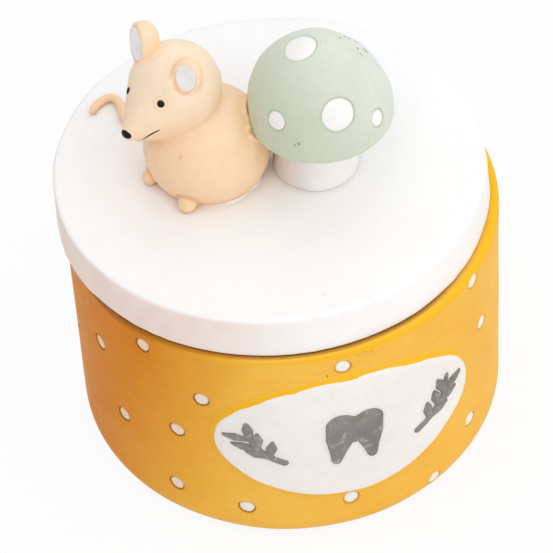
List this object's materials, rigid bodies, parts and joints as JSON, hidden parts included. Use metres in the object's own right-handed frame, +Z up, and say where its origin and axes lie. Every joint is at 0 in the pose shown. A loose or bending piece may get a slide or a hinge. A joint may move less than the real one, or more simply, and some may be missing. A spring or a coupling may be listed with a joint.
{
  "type": "tooth box",
  "caption": "Small round keepsake box for milk teeth: dotted pot with an oval medallion and a loose lift-off lid that carries a mouse beside a mushroom.",
  "frame": {"origin": "centre of the pot's flat base", "axes": "+Z up along the pot's axis, -Y out of the middle of the oval medallion, +X to the right of the medallion"},
  "size_m": [0.0661, 0.0679, 0.074],
  "materials": {
    "mustard_paint": "satin mustard paint on cast resin",
    "white_paint": "satin white paint on cast resin",
    "grey_paint": "matt grey paint on raised relief",
    "peach_paint": "satin peach paint on cast resin",
    "sage_paint": "satin sage green paint on cast resin",
    "black_paint": "gloss black paint"
  },
  "bodies": {
    "pot": {"pot": "mustard_paint", "pot_dots": "white_paint", "medallion": "white_paint", "medallion_tooth": "grey_paint", "left_sprig": "grey_paint", "right_sprig": "grey_paint"},
    "plug": {"lid_plug": "white_paint"},
    "lid": {"lid": "white_paint", "mouse_body": "peach_paint", "mouse_head": "peach_paint", "left_ear": "peach_paint", "right_ear": "peach_paint", "left_foot": "peach_paint", "right_foot": "peach_paint", "tail": "peach_paint", "left_inner_ear": "white_paint", "right_inner_ear": "white_paint", "left_eye": "black_paint", "right_eye": "black_paint", "nose": "black_paint", "mushroom_stem": "white_paint", "mushroom_cap": "sage_paint", "mushroom_spots": "white_paint"}
  },
  "joints": [
    {"name": "lid_lift", "type": "slide", "parent": "pot", "child": "plug", "axis": [0, 0, 1], "range_m": [0, 0.06]},
    {"name": "lid_turn", "type": "hinge", "parent": "plug", "child": "lid", "pos_m": [-0.00112, 0.00154, 0.0417], "axis": [0, 0, 1], "continuous": true}
  ]
}
